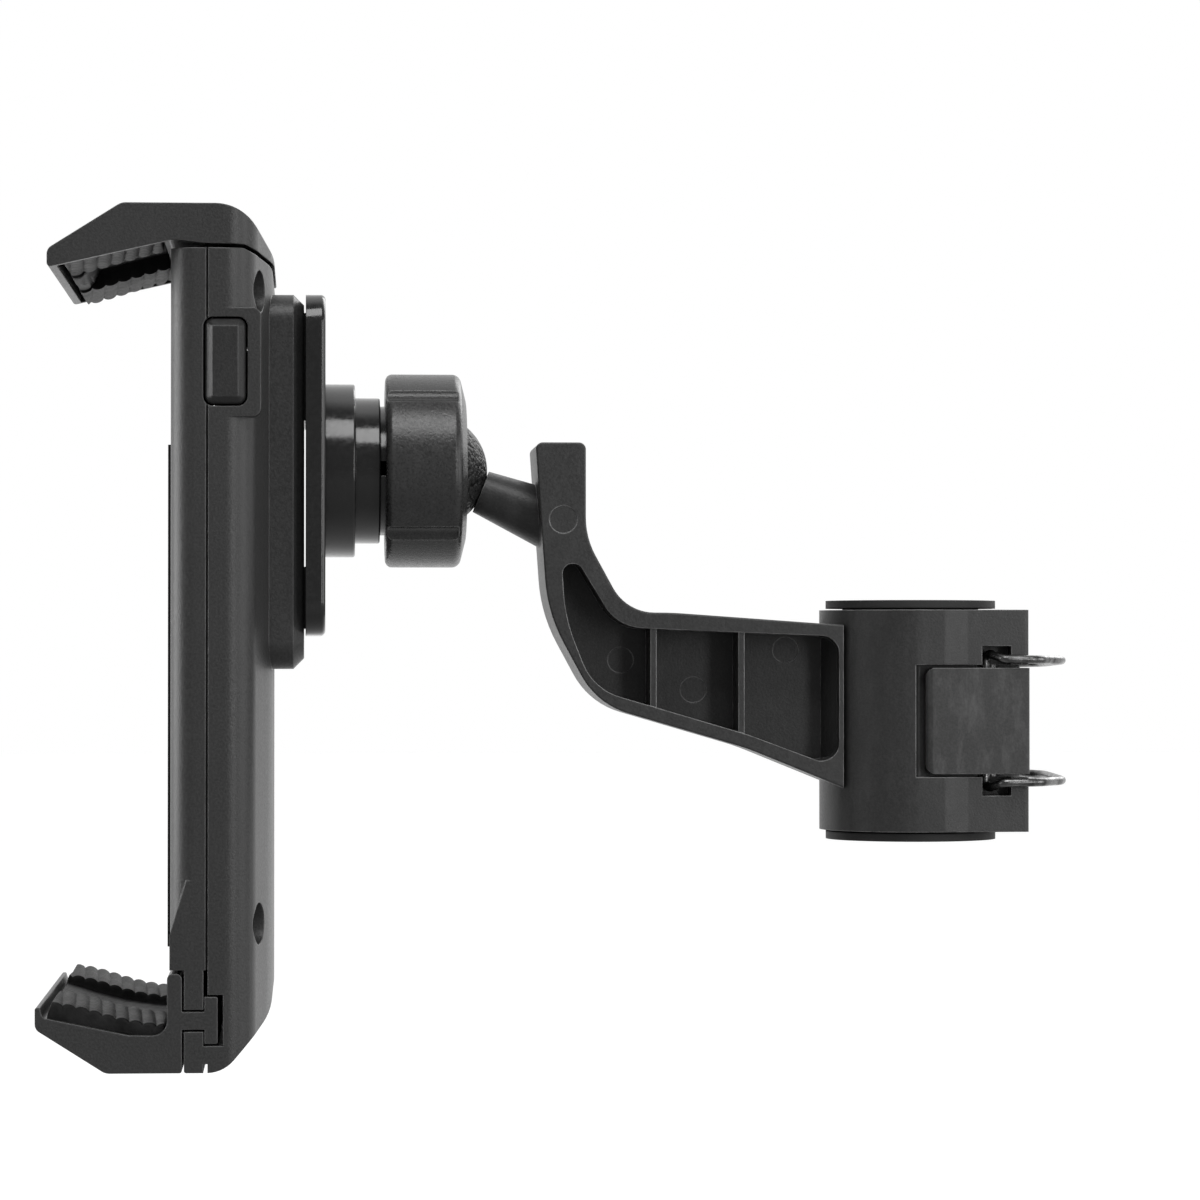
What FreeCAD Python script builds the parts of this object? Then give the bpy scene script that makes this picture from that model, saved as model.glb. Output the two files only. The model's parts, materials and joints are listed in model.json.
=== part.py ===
import FreeCAD, Part
import Sketcher
import math
import os
import re
from FreeCAD import Rotation, Vector

# A tablet mount that clamps round a headrest post.
# X runs from the tablet (negative) to the post, Y away from the release button, Z up.
# The origin is on the post's axis, halfway up the collar. All sizes are millimetres.

doc = FreeCAD.newDocument("HeadrestTabletMount")
sheet = doc.addObject("Spreadsheet::Sheet", "Dimensions")

dimensions = [
    # The post and the collar round it.
    ("postBore", 6.1, "bore of the rubber liner, for a 12 mm post"),
    ("collarRound", 16.35, "outer radius of the collar's round back"),
    ("collarFlat", 15.6, "half thickness of the collar between its flat cheeks"),
    ("collarEnd", 19.0, "end face of the two lips"),
    ("collarRise", 19.6, "half height of the collar"),
    ("collarBore", 12.2, "bore of the collar, round the liner"),
    ("lipGap", 1.5, "half the slit between the lips"),
    ("rampStart", 11.0, "where the far lip starts to fall away for the wire"),
    ("rampEnd", 13.8, "half thickness of the lips at their end"),
    ("flangeRadius", 15.2, "radius of the liner's end flanges"),
    ("flangeThick", 1.4, "thickness of a liner flange"),
    ("flangeGap", 0.3, "gap between flange and collar"),
    # The over-centre latch.
    ("leverLeft", 0.6, "finger end of the lever"),
    ("leverRise", 9.35, "half height of the lever"),
    ("leverOuter", 16.4, "outer face of the lever"),
    ("leverInner", 13.6, "inner face of the lever's plate"),
    ("recessRise", 9.9, "half height of the lever's recess"),
    ("recessLeft", -1.25, "left end of the recess"),
    ("recessFloor", 13.35, "floor of the recess under the plate"),
    ("earFloor", 7.8, "floor of the recess under the ears' left part"),
    ("swingFloor", 5.1, "floor of the recess under the lever's pivot end"),
    ("pivotAlong", 13.0, "lever pivot, X"),
    ("pivotAcross", 10.4, "lever pivot, distance from the mid-plane"),
    ("bailAlong", 11.6, "wire pivot, X"),
    ("bailAcross", 12.6, "wire pivot, distance from the mid-plane"),
    ("pinRadius", 0.8, "lever pin"),
    ("wireRadius", 0.75, "bail wire"),
    ("earThick", 1.6, "thickness of the lever's two ears"),
    ("notchLeft", 10.6, "left side of the wire's notches"),
    ("notchRight", 15.8, "right side of the wire's notches"),
    ("notchRise", 13.2, "outer end of the wire's notches"),
    ("notchFloor", 11.3, "floor of the wire's notches"),
    # The arm.
    ("armHalf", 11.0, "half width of the arm"),
    ("webHalf", 1.1, "half thickness of the web between the pockets"),
    ("ribThick", 1.1, "thickness of the ribs in the pockets"),
    ("armTop", 49.1, "top of the arm"),
    ("armLeft", -67.6, "left face of the arm at its top"),
    ("armNeck", -59.1, "right face of the arm's upright part"),
    ("armEnd", -13.4, "end of the arm's flat sides, before the collar"),
    ("rimRound", 0.35, "softened edges of the arm's sides"),
    ("ejectorDepth", 0.12, "depth of the ejector marks"),
    # The ball joint.
    ("ballAlong", -86.3, "ball centre, X"),
    ("neckHeight", 44.4, "ball centre and neck axis, Z"),
    ("ballRadius", 10.2, "ball"),
    ("ballGap", 0.08, "running clearance round the ball"),
    ("studDrop", 22.0, "angle of the stud below the neck axis, degrees"),
    ("studStart", 9.8, "start of the stud, from the ball's centre"),
    ("studEnd", 25.0, "end of the stud inside the arm"),
    ("studTip", 3.9, "stud radius where it leaves the ball"),
    ("studRoot", 5.6, "stud radius at the arm"),
    ("boreInBall", 3.0, "radius of the stud's tenon in the ball"),
    ("tenonReach", 6.0, "how far the ball's tenon hole goes past its centre"),
    # The neck socket and its nut, measured along the neck from the ball centre.
    ("plateBack", -18.7, "neck side of the mounting plate"),
    ("plateThick", 3.4, "mounting plate"),
    ("plateHalf", 29.4, "half side of the mounting plate"),
    ("ringOneEnd", -13.4, "end of the first ring"),
    ("ringOneRadius", 15.4, "first ring"),
    ("ringTwoEnd", -9.0, "end of the second ring"),
    ("ringTwoRadius", 12.95, "second ring"),
    ("colletRadius", 11.5, "split collet, outside"),
    ("colletEnd", 1.2, "tip of the collet's fingers"),
    ("slotWidth", 2.6, "slots between the collet's fingers"),
    ("nutStart", -8.0, "nut, holder side"),
    ("nutEnd", 6.3, "nut, stud side"),
    ("nutRadius", 17.2, "nut, over its lobes"),
    ("grooveAngle", 48.0, "first finger groove, above the side with the lever, degrees"),
    ("nutBore", 11.58, "bore of the nut round the collet"),
    ("seatBore", 11.9, "recess for the seat ring in the nut"),
    ("seatRadius", 11.8, "outer radius of the seat ring"),
    ("seatStart", 1.4, "seat ring, collet side"),
    ("seatEnd", 5.3, "seat ring, stud side"),
    ("mouthRadius", 8.9, "mouth of the nut"),
    # The two shells of the holder.
    ("holderHalf", 40.0, "half width of the holder"),
    ("shellFront", -131.2, "front face"),
    ("seam", -124.8, "plane where the shells meet"),
    ("shellRear", -114.1, "rear face"),
    ("grooveWide", 0.35, "width of the groove along the seam"),
    ("grooveDeep", 0.6, "depth of the groove along the seam"),
    ("shellTop", 80.4, "top of the shells, under the jaw"),
    ("shellFoot", -58.7, "bottom of the shells"),
    ("frontFoot", -41.4, "bottom of the front shell's full depth"),
    ("wall", 1.9, "wall of the shells"),
    ("floorTop", -43.0, "bottom of the hollow in the shells"),
    # The raised base on the rear shell.
    ("baseRear", -108.7, "face of the base"),
    ("baseTop", 73.9, "top of the base"),
    ("baseFoot", 9.2, "bottom of the base"),
    ("baseHalf", 27.0, "half width of the base"),
    ("cornerAlong", -117.7, "side corners of the rear shell before rounding, X"),
    ("cornerRound", 5.4, "radius of those corners"),
    ("crownHalf", 24.4, "half width of the flat part of the rear face"),
    ("baseChamfer", 1.8, "chamfer round the face of the base"),
    ("dockHalf", 16.0, "half width of the plate's two bosses and of their pockets in the base"),
    ("dockFloor", -111.6, "floor of the pocket in the base"),
    # The lower jaw and its slide.
    ("railFront", -128.75, "front of the rails the lower jaw runs on"),
    ("railRear", -125.5, "rear of the rails"),
    ("webTop", -48.4, "top of the jaw's web"),
    ("webFoot", -51.4, "bottom of the jaw's web"),
    ("flangeTop", -45.9, "top of the jaw's flange"),
    ("flangeFoot", -53.8, "bottom of the jaw's flange"),
    ("flangeRear", -123.1, "rear of the jaw's flange"),
    ("slotRear", -122.2, "rear of the slot for the flange"),
    ("slide", 0.35, "clearance round the sliding jaw"),
    ("jawTip", -153.7, "tip of the lower jaw"),
    ("jawBack", -129.1, "back of the lower jaw"),
    # The upper jaw and its tongue.
    ("capTop", 87.9, "top of the upper jaw"),
    ("capTip", -151.9, "tip of the upper jaw"),
    ("capRear", -113.8, "rear of the upper jaw"),
    ("capProud", 0.3, "how far the upper jaw stands out past the rear shell"),
    ("endWall", 1.5, "end walls of the upper jaw's pad recess"),
    ("tipWall", 1.6, "wall at the tip of that recess"),
    ("padThick", 2.5, "rubber pads at their ribs"),
    ("padLength", 26.0, "rubber pads, across the jaw"),
    ("ribPitch", 2.3, "pitch of the pads' ribs"),
    ("tongueFront", -123.6, "front of the tongue"),
    ("tongueRear", -120.6, "rear of the tongue"),
    ("tongueHalf", 24.0, "half width of the tongue over its teeth"),
    ("tongueFoot", -28.0, "bottom of the tongue"),
    ("windowInner", 9.6, "window in the tongue, inner side"),
    ("pawlInner", 12.8, "inner end of a button's pawl"),
    ("windowOuter", 21.5, "window in the tongue, outer side"),
    ("windowFoot", -24.0, "window in the tongue, bottom"),
    ("windowTop", 75.0, "window in the tongue, top"),
    ("toothPitch", 3.0, "pitch of the rack"),
    ("toothDepth", 1.4, "depth of the rack's teeth"),
    # The release buttons.
    ("buttonAlong", -121.9, "button centre, X"),
    ("buttonHeight", 61.2, "button centre, Z"),
    ("buttonWide", 6.9, "button along X"),
    ("buttonTall", 14.5, "button along Z"),
    ("buttonProud", 0.9, "how far a button stands out"),
    ("buttonGap", 0.3, "gap round a button"),
    ("surroundRear", -115.9, "rear of the raised surround of a button"),
    ("surroundFoot", 51.9, "bottom of the surround"),
    ("surroundTop", 70.3, "top of the surround"),
    ("surroundInner", 31.5, "inner end of the surround, distance from the mid-plane"),
    ("keyChamfer", 1.3, "chamfer round a button's face"),
    ("keyRound", 1.4, "corners of a button"),
    # Fasteners.
    ("wellRadius", 3.6, "screw wells in the rear shell"),
    ("wellAcross", 33.6, "screw wells, distance from the mid-plane"),
    ("wellTop", 73.5, "upper screw wells, Z"),
    ("wellFoot", -34.0, "lower screw wells, Z"),
    ("screwRadius", 1.4, "shell screws, shank"),
    ("headRadius", 2.7, "shell screws, head"),
]
for row, (name, amount, note) in enumerate(dimensions, start=1):
    sheet.set(f"A{row}", note)
    sheet.set(f"B{row}", str(amount))
    sheet.setAlias(f"B{row}", name)
doc.recompute()
names = {name for name, amount, note in dimensions}


def linked(text):
    # A size as text, with each dimension's name pointed at its cell.
    return re.sub(r"[A-Za-z]+", lambda word: f"Dimensions.{word[0]}" if word[0] in names else word[0], str(text))


def size(text):
    # The number that a size stands for now.
    return float(sheet.evalExpression(linked(text)))


def bind(thing, sizes):
    # Ties properties of a thing to the sheet.
    for path, text in sizes.items():
        thing.setExpression(path, linked(text))


def newBody(label):
    body = doc.addObject("PartDesign::Body", label)
    body.Label = label
    return body


def planeOf(body, role):
    return next(part for part in body.Origin.OriginFeatures if part.Role == role)


def hold(sketch, pairs):
    # Adds dimensional constraints, each tied to its size.
    for constraint, text in pairs:
        index = sketch.addConstraint(constraint)
        if re.search("[A-Za-z]", str(text)):
            sketch.setExpression(f"Constraints[{index}]", linked(text))


def holdPoint(sketch, shape, end, x, y):
    # Fixes a point of the sketch at x, y from its origin.
    hold(sketch, [
        (Sketcher.Constraint("DistanceX", -1, 1, shape, end, size(x)), x),
        (Sketcher.Constraint("DistanceY", -1, 1, shape, end, size(y)), y),
    ])


def drawCircle(sketch, x, y, radius):
    ring = Part.Circle(Vector(size(x), size(y), 0), Vector(0, 0, 1), size(radius))
    index = sketch.addGeometry(ring)
    hold(sketch, [(Sketcher.Constraint("Radius", index, size(radius)), radius)])
    holdPoint(sketch, index, 3, x, y)


def drawOutline(sketch, corners):
    # A closed outline of straight sides. A corner is x, y and, where it is rounded, a radius.
    corners = [corner if len(corner) == 3 else (*corner, 0) for corner in corners]
    points = [Vector(size(x), size(y), 0) for x, y, radius in corners]
    count = len(points)
    leave, arrive, arcs = [], [], {}
    for i, (x, y, text) in enumerate(corners):
        back = (points[i - 1] - points[i]).normalize()
        ahead = (points[(i + 1) % count] - points[i]).normalize()
        radius = size(text)
        half = back.getAngle(ahead) / 2
        reach = radius / math.tan(half)
        arrive.append(points[i] + back * reach)
        leave.append(points[i] + ahead * reach)
        if radius > 0:
            centre = points[i] + (back + ahead).normalize() * (radius / math.sin(half))
            left = back.cross(ahead).z < 0
            first, last = (arrive[i], leave[i]) if left else (leave[i], arrive[i])
            angles = [math.atan2(p.y - centre.y, p.x - centre.x) for p in (first, last)]
            if angles[1] < angles[0]:
                angles[1] += 2 * math.pi
            arc = Part.ArcOfCircle(Part.Circle(centre, Vector(0, 0, 1), radius), *angles)
            arcs[i] = (arc, left)
    sides = [sketch.addGeometry(Part.LineSegment(leave[i], arrive[(i + 1) % count])) for i in range(count)]
    for i, (x, y, text) in enumerate(corners):
        before, after = sides[i - 1], sides[i]
        if i not in arcs:
            sketch.addConstraint(Sketcher.Constraint("Coincident", before, 2, after, 1))
            holdPoint(sketch, after, 1, x, y)
            continue
        arc, left = arcs[i]
        bend = sketch.addGeometry(arc)
        corner = sketch.addGeometry(Part.Point(points[i]), True)
        start, end = (1, 2) if left else (2, 1)
        sketch.addConstraint([
            Sketcher.Constraint("Tangent", before, 2, bend, start),
            Sketcher.Constraint("Tangent", bend, end, after, 1),
            Sketcher.Constraint("PointOnObject", corner, 1, before),
            Sketcher.Constraint("PointOnObject", corner, 1, after),
        ])
        hold(sketch, [(Sketcher.Constraint("Radius", bend, size(text)), text)])
        holdPoint(sketch, corner, 1, x, y)


def box(low, high):
    # A rectangle between two opposite corners.
    return [(low[0], low[1]), (high[0], low[1]), (high[0], high[1]), (low[0], high[1])]


def newSketch(body, role, outlines, lift="0", shift=("0", "0"), turn="0"):
    sketch = body.newObject("Sketcher::SketchObject", "Outline")
    sketch.AttachmentSupport = [(planeOf(body, role), "")]
    sketch.MapMode = "FlatFace"
    for outline in outlines:
        if outline[0] == "circle":
            drawCircle(sketch, *outline[1:])
        else:
            drawOutline(sketch, outline)
    bind(sketch, {
        "AttachmentOffset.Base.x": shift[0],
        "AttachmentOffset.Base.y": shift[1],
        "AttachmentOffset.Base.z": lift,
        "AttachmentOffset.Rotation.Angle": turn,
    })
    return sketch


def slab(body, kind, role, outlines, low, high, **place):
    # Pads or pockets outlines between two heights on the axis across their plane.
    lift = f"-({high})" if role == "XZ_Plane" else str(low)
    sketch = newSketch(body, role, outlines, lift, **place)
    feature = body.newObject("PartDesign::" + kind, kind)
    feature.Profile = sketch
    if kind == "Pocket":
        feature.Reversed = True
    bind(feature, {"Length": f"({high}) - ({low})"})
    return feature


def turned(body, kind, outlines, shift=("ballAlong", "neckHeight"), turn="0"):
    # Revolves outlines drawn above the sketch's own X axis.
    sketch = newSketch(body, "XZ_Plane", outlines, "0", shift, turn)
    feature = body.newObject("PartDesign::" + kind, kind)
    feature.Profile = sketch
    feature.ReferenceAxis = (sketch, ["H_Axis"])
    feature.Angle = 360
    return feature


def around(body, feature, sketch, count):
    # Repeats a feature evenly round a sketch's X axis.
    pattern = body.newObject("PartDesign::PolarPattern", "Ring")
    pattern.Originals = [feature]
    pattern.Axis = (sketch, ["H_Axis"])
    pattern.Angle = 360
    pattern.Occurrences = count
    body.Tip = pattern
    return pattern


def eased(body, kind, amount, chosen):
    # Fillets or chamfers the edges of the body that a test picks.
    doc.recompute()
    base = body.Tip
    edges = [f"Edge{i + 1}" for i, edge in enumerate(base.Shape.Edges) if chosen(edge)]
    feature = body.newObject("PartDesign::" + kind, kind)
    feature.Base = (base, edges)
    bind(feature, {"Radius" if kind == "Fillet" else "Size": amount})
    return feature


def within(edge, x=None, y=None, z=None):
    # True where the edge's box lies in the given spans.
    bounds = edge.BoundBox
    spans = ((x, bounds.XMin, bounds.XMax), (y, bounds.YMin, bounds.YMax), (z, bounds.ZMin, bounds.ZMax))
    return all(span is None or (low > span[0] - 0.01 and high < span[1] + 0.01) for span, low, high in spans)


# The arm, its collar and its stud are one moulding.


def makeArm():
    body = newBody("arm_and_collar")
    outline = [
        ("armLeft - 0.4", "armTop", 1.2),
        ("-65.9", "19", 28),
        ("-57.2", "2.9", 14),
        ("-30.6", "-4.9", 40),
        ("armEnd", "-11.9"),
        ("armEnd", "16.9"),
        ("-44", "19.1", 60),
        ("-51.9", "19.1", 8.4),
        ("armNeck", "32.3", 14),
        ("armNeck", "armTop", 1.2),
    ]
    slab(body, "Pad", "XZ_Plane", [outline], "-armHalf", "armHalf")
    end = size("armEnd")
    eased(body, "Fillet", "rimRound", lambda edge: edge.BoundBox.YLength < 0.01 and edge.BoundBox.XMin < end - 0.01)
    pocket = [
        ("-63.3", "27.7", 1.7),
        ("-62.8", "18.2", 30),
        ("-57.8", "5.6", 10),
        ("-30.6", "-2.4", 40),
        ("-14.2", "-8.5", 3.2),
        ("-14.2", "14.9", 3.2),
        ("-44", "16.1", 60),
        ("-53.6", "16.6", 8),
        ("-60.3", "27.7", 1.7),
    ]
    for low, high in (("-armHalf - 1", "-webHalf"), ("webHalf", "armHalf + 1")):
        slab(body, "Pocket", "XZ_Plane", [pocket], low, high)
    for left, top, foot in (("-47.7", "17", "1"), ("-32.1", "17", "-3.4")):
        rib = box((left, foot), (f"{left} + ribThick", top))
        slab(body, "Pad", "XZ_Plane", [rib], "-armHalf + 0.3", "armHalf - 0.3")
    sideMark = [("circle", "-63.1", "35.5", "2.45")]
    webMarks = [("circle", x, z, "2.3") for x, z in (("-52.3", "10.7"), ("-39.3", "5.4"), ("-22.7", "12.5"))]
    for marks, face in ((sideMark, "armHalf"), (webMarks, "webHalf")):
        slab(body, "Pocket", "XZ_Plane", marks, f"{face} - ejectorDepth", "armHalf + 1")
        slab(body, "Pocket", "XZ_Plane", marks, "-armHalf - 1", f"-{face} + ejectorDepth")
    stud = [
        ("studStart", "0"),
        ("studEnd", "0"),
        ("studEnd", "studRoot"),
        ("studStart", "studTip"),
    ]
    turned(body, "Revolution", [stud], turn="-studDrop")
    tenon = [
        ("-tenonReach + 0.2", "0"),
        ("studStart + 1", "0"),
        ("studStart + 1", "boreInBall"),
        ("-tenonReach + 0.2", "boreInBall"),
    ]
    turned(body, "Revolution", [tenon], turn="-studDrop")
    collar = [
        ("-collarRound", "-collarRound", "collarRound - 0.05"),
        ("4", "-collarRound", 4),
        ("rampStart - 3", "-collarFlat", 3),
        ("collarEnd", "-collarFlat + 0.4", 0.8),
        ("collarEnd", "-lipGap"),
        ("0", "-lipGap"),
        ("0", "lipGap"),
        ("collarEnd", "lipGap"),
        ("collarEnd", "rampEnd", 0.8),
        ("rampStart", "collarFlat", 3),
        ("4", "collarRound", 4),
        ("-collarRound", "collarRound", "collarRound - 0.05"),
    ]
    slab(body, "Pad", "XY_Plane", [collar], "-collarRise", "collarRise")
    bore = [("circle", "0", "0", "collarBore")]
    slab(body, "Pocket", "XY_Plane", bore, "-collarRise - 1", "collarRise + 1")
    recess = [
        ("recessLeft", "-collarRound - 2"),
        ("recessLeft", "-recessFloor", 1.2),
        ("10", "-recessFloor"),
        ("10", "-earFloor"),
        ("12.8", "-earFloor"),
        ("12.8", "-swingFloor"),
        ("collarEnd + 1", "-swingFloor"),
        ("collarEnd + 1", "-collarRound - 2"),
    ]
    slab(body, "Pocket", "XY_Plane", [recess[::-1]], "-recessRise", "recessRise")
    notch = box(("notchLeft", "-collarRound - 2"), ("notchRight", "-notchFloor"))
    slab(body, "Pocket", "XY_Plane", [notch], "-notchRise", "notchRise")
    pinHole = [("circle", "pivotAlong", "-pivotAcross", "pinRadius")]
    slab(body, "Pocket", "XY_Plane", pinHole, "-15", "15")
    return body


def makeLiner():
    # A split rubber sleeve with a flange at each end.
    body = newBody("post_liner")
    sleeve = [("circle", "0", "0", "collarBore"), ("circle", "0", "0", "postBore")]
    slab(body, "Pad", "XY_Plane", sleeve, "-collarRise - flangeGap", "collarRise + flangeGap")
    flange = [("circle", "0", "0", "flangeRadius"), ("circle", "0", "0", "postBore")]
    slab(body, "Pad", "XY_Plane", flange, "collarRise + flangeGap", "collarRise + flangeGap + flangeThick")
    slab(body, "Pad", "XY_Plane", flange, "-collarRise - flangeGap - flangeThick", "-collarRise - flangeGap")
    slit = box(("0", "-lipGap"), ("flangeRadius + 2", "lipGap"))
    slab(body, "Pocket", "XY_Plane", [slit], "-collarRise - 4", "collarRise + 4")
    return body


def makeLatchPin():
    pin = doc.addObject("Part::Cylinder", "LatchPin")
    pin.Label = "latch_pin"
    bind(pin, {
        "Radius": "pinRadius",
        "Height": "29.6",
        "Placement.Base.x": "pivotAlong",
        "Placement.Base.y": "-pivotAcross",
        "Placement.Base.z": "-14.8",
    })
    return pin


def makeLever():
    body = newBody("latch_lever")
    plate = [
        ("leverLeft", "-leverOuter + 1.1"),
        ("leverLeft + 1.0", "-leverOuter", 0.4),
        ("collarEnd - 0.1", "-leverOuter", 0.25),
        ("collarEnd - 0.1", "-leverInner"),
        ("leverLeft", "-leverInner"),
    ]
    slab(body, "Pad", "XY_Plane", [plate], "-leverRise", "leverRise")
    ear = [
        ("bailAlong - 1.5", "-leverInner - 0.5"),
        ("bailAlong - 1.5", "-bailAcross + 1.2", 0.8),
        ("pivotAlong - 1.4", "-pivotAcross + 2", 1.2),
        ("pivotAlong + 2.1", "-pivotAcross + 2", 1.8),
        ("pivotAlong + 2.1", "-leverInner - 0.5"),
    ]
    ear = ear[::-1]
    for low, high in (("leverRise - earThick", "leverRise"), ("-leverRise", "-leverRise + earThick")):
        slab(body, "Pad", "XY_Plane", [ear], low, high)
    holes = [
        ("circle", "pivotAlong", "-pivotAcross", "pinRadius + 0.06"),
        ("circle", "bailAlong", "-bailAcross", "wireRadius + 0.06"),
    ]
    slab(body, "Pocket", "XY_Plane", holes, "-leverRise - 1", "leverRise + 1")
    left = size("leverLeft")
    eased(body, "Fillet", "1.6", lambda edge: within(edge, x=(left - 1, left + 0.1)) and edge.BoundBox.ZLength < 0.1)
    return body


def makeBailWire():
    # One bent wire: a leg in each of the lever's ears, two arms round the open end, and a bar behind.
    along, across, radius = size("bailAlong"), -size("bailAcross"), size("wireRadius")
    half = [
        Vector(along, across, 7.9),
        Vector(along, across, 12.1),
        Vector(14.2, -16.9, 10.9),
        Vector(20.6, -16.6, 10.8),
        Vector(25.9, -10.5, 10.7),
        Vector(25.9, 9.5, 10.2),
        Vector(19.8, 17.3, 10.0),
        Vector(8.5, 16.85, 9.8),
    ]
    route = half + [Vector(p.x, p.y, -p.z) for p in reversed(half)]
    radii = [1.2, 1.3, 3.5, 6.5, 6.5, 3.5, 1.4]
    radii = radii + radii[::-1]
    edges, last = [], route[0]
    for i, bend in enumerate(radii, start=1):
        back = (route[i - 1] - route[i]).normalize()
        ahead = (route[i + 1] - route[i]).normalize()
        turn = back.getAngle(ahead) / 2
        reach = bend / math.tan(turn)
        start, end = route[i] + back * reach, route[i] + ahead * reach
        centre = route[i] + (back + ahead).normalize() * (bend / math.sin(turn))
        middle = centre + (route[i] - centre).normalize() * bend
        edges.append(Part.LineSegment(last, start).toShape())
        edges.append(Part.Arc(start, middle, end).toShape())
        last = end
    edges.append(Part.LineSegment(last, route[-1]).toShape())
    path = Part.Wire(edges)
    ring = Part.Face(Part.Wire(Part.makeCircle(radius, route[0], route[1] - route[0])))
    wire = doc.addObject("Part::Feature", "BailWire")
    wire.Label = "bail_wire"
    wire.Shape = path.makePipe(ring)
    return wire


# The ball joint, drawn along the neck from the ball's centre.


def makeBall():
    body = newBody("ball")
    sketch = body.newObject("Sketcher::SketchObject", "Outline")
    sketch.AttachmentSupport = [(planeOf(body, "XZ_Plane"), "")]
    sketch.MapMode = "FlatFace"
    bore, radius, tenon = size("boreInBall") + 0.06, size("ballRadius"), -size("tenonReach")
    reach = math.sqrt(radius * radius - bore * bore)
    sketch.addGeometry([
        Part.ArcOfCircle(Part.Circle(Vector(), Vector(0, 0, 1), radius), math.asin(bore / radius), math.pi),
        Part.LineSegment(Vector(-radius, 0, 0), Vector(tenon, 0, 0)),
        Part.LineSegment(Vector(tenon, 0, 0), Vector(tenon, bore, 0)),
        Part.LineSegment(Vector(tenon, bore, 0), Vector(reach, bore, 0)),
    ])
    sketch.addConstraint([
        Sketcher.Constraint("Coincident", 0, 3, -1, 1),
        Sketcher.Constraint("Coincident", 0, 2, 1, 1),
        Sketcher.Constraint("Coincident", 1, 2, 2, 1),
        Sketcher.Constraint("Coincident", 2, 2, 3, 1),
        Sketcher.Constraint("Coincident", 3, 2, 0, 1),
        Sketcher.Constraint("PointOnObject", 1, 1, -1),
        Sketcher.Constraint("Horizontal", 1),
        Sketcher.Constraint("Vertical", 2),
        Sketcher.Constraint("Horizontal", 3),
    ])
    hold(sketch, [
        (Sketcher.Constraint("Radius", 0, radius), "ballRadius"),
        (Sketcher.Constraint("DistanceX", -1, 1, 1, 2, tenon), "-tenonReach"),
        (Sketcher.Constraint("DistanceY", -1, 1, 2, 2, bore), "boreInBall + 0.06"),
    ])
    bind(sketch, {
        "AttachmentOffset.Base.x": "ballAlong",
        "AttachmentOffset.Base.y": "neckHeight",
        "AttachmentOffset.Rotation.Angle": "-studDrop",
    })
    feature = body.newObject("PartDesign::Revolution", "Revolution")
    feature.Profile = sketch
    feature.ReferenceAxis = (sketch, ["H_Axis"])
    feature.Angle = 360
    return body


def hollowFor(base, label, ball):
    # The body with the ball's own round seat taken out.
    cut = doc.addObject("Part::Cut", label)
    cut.Label = label
    cut.Base = base
    cut.Tool = ball
    return cut


def makeSeatSphere():
    sphere = doc.addObject("Part::Sphere", "SeatSphere")
    bind(sphere, {
        "Radius": "ballRadius + ballGap",
        "Placement.Base.x": "ballAlong",
        "Placement.Base.z": "neckHeight",
    })
    return sphere


def makeSocket():
    # Two rings, then a collet split into four fingers round the ball.
    body = newBody("SocketBlank")
    profile = [
        ("plateBack", "0"),
        ("colletEnd", "0"),
        ("colletEnd", "colletRadius - 0.4"),
        ("colletEnd - 0.4", "colletRadius"),
        ("ringTwoEnd", "colletRadius"),
        ("ringTwoEnd", "ringTwoRadius", 0.3),
        ("ringOneEnd", "ringTwoRadius"),
        ("ringOneEnd", "ringOneRadius", 0.4),
        ("plateBack", "ringOneRadius"),
    ]
    turned(body, "Revolution", [profile])
    for role in ("XY_Plane", "XZ_Plane"):
        shift = ("ballAlong", "0") if role == "XY_Plane" else ("ballAlong", "neckHeight")
        slot = box(("ringTwoEnd", "-slotWidth / 2"), ("colletEnd + 1", "slotWidth / 2"))
        low, high = ("neckHeight - 14", "neckHeight + 14") if role == "XY_Plane" else ("-14", "14")
        slab(body, "Pocket", role, [slot], low, high, shift=shift)
    return body


def makeNut():
    # A cup with four finger grooves round its rim and a rounded face.
    body = newBody("collar_nut")
    cup = [
        ("nutStart", "nutBore"),
        ("nutStart", "nutRadius", 1.2),
        ("nutEnd - 1.2", "nutRadius", 1.6),
        ("nutEnd", "12.4", 3),
        ("nutEnd", "mouthRadius"),
        ("seatEnd + 0.3", "mouthRadius - 0.2"),
        ("seatEnd + 0.3", "seatBore"),
        ("colletEnd - 0.2", "seatBore"),
        ("colletEnd - 0.2", "nutBore"),
    ]
    turned(body, "Revolution", [cup[::-1]])
    groove = [("circle", "-(nutRadius + 1.5) * cos(grooveAngle)", "(nutRadius + 1.5) * sin(grooveAngle)", "2.2")]
    first = slab(body, "Pocket", "YZ_Plane", groove, "ballAlong + nutStart - 1", "ballAlong + nutEnd - 1.6", shift=("0", "neckHeight"))
    axis = newSketch(body, "XZ_Plane", [box(("0", "0.5"), ("1", "1"))], "0", ("ballAlong", "neckHeight"))
    around(body, first, axis, 4)
    return body


def makeSeatRing():
    body = newBody("SeatBlank")
    ring = [
        ("seatStart", "7"),
        ("seatEnd", "7"),
        ("seatEnd", "seatRadius"),
        ("seatStart", "seatRadius"),
    ]
    turned(body, "Revolution", [ring])
    return body


def docks():
    # The two bosses that hold the plate in the base.
    spans = (("16.2", "27"), ("52.5", "71.3"))
    return [box(("-dockHalf", low), ("dockHalf", high)) for low, high in spans]


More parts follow.
